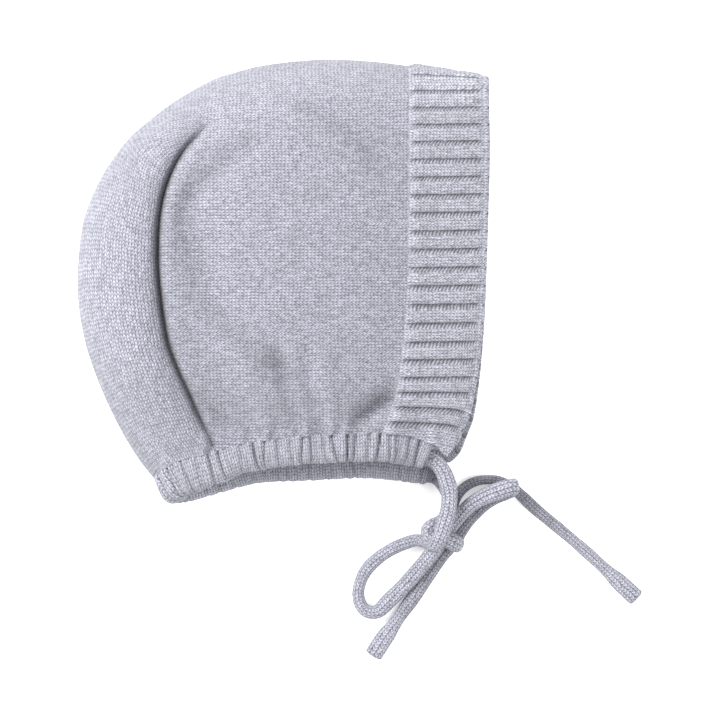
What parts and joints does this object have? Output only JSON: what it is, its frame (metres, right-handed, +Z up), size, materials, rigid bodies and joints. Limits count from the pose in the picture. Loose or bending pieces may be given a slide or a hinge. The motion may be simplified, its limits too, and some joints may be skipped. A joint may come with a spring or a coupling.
{
  "type": "baby bonnet",
  "caption": "Knitted baby bonnet lying on its side, with a ribbed face band, a sewn back panel, a gathered neck casing and a drawcord tied in a bow.",
  "frame": {"origin": "on the surface, under the middle of the bonnet's cloth without its ties", "axes": "+Z up from the surface to the near side, +X from the back of the head to the face opening, +Y from the neck to the crown"},
  "size_m": [0.2161, 0.2302, 0.0503],
  "materials": {
    "knit": "plain stocking stitch, fine cotton yarn",
    "panel_knit": "plain stocking stitch, fine cotton yarn",
    "rib_knit": "ribbed knit, fine cotton yarn",
    "cord_knit": "tubular knitted cord"
  },
  "bodies": {
    "root": {"crown": "knit", "back_panel": "panel_knit", "face_band": "rib_knit", "neck_casing": "rib_knit", "drawcord": "cord_knit", "tie_near": "cord_knit", "tie_far": "cord_knit", "tie_knot": "cord_knit", "loop_left": "cord_knit", "loop_right": "cord_knit", "tail_a": "cord_knit", "tail_b": "cord_knit", "tail_a_end": "cord_knit", "tail_b_end": "cord_knit"}
  },
  "joints": []
}
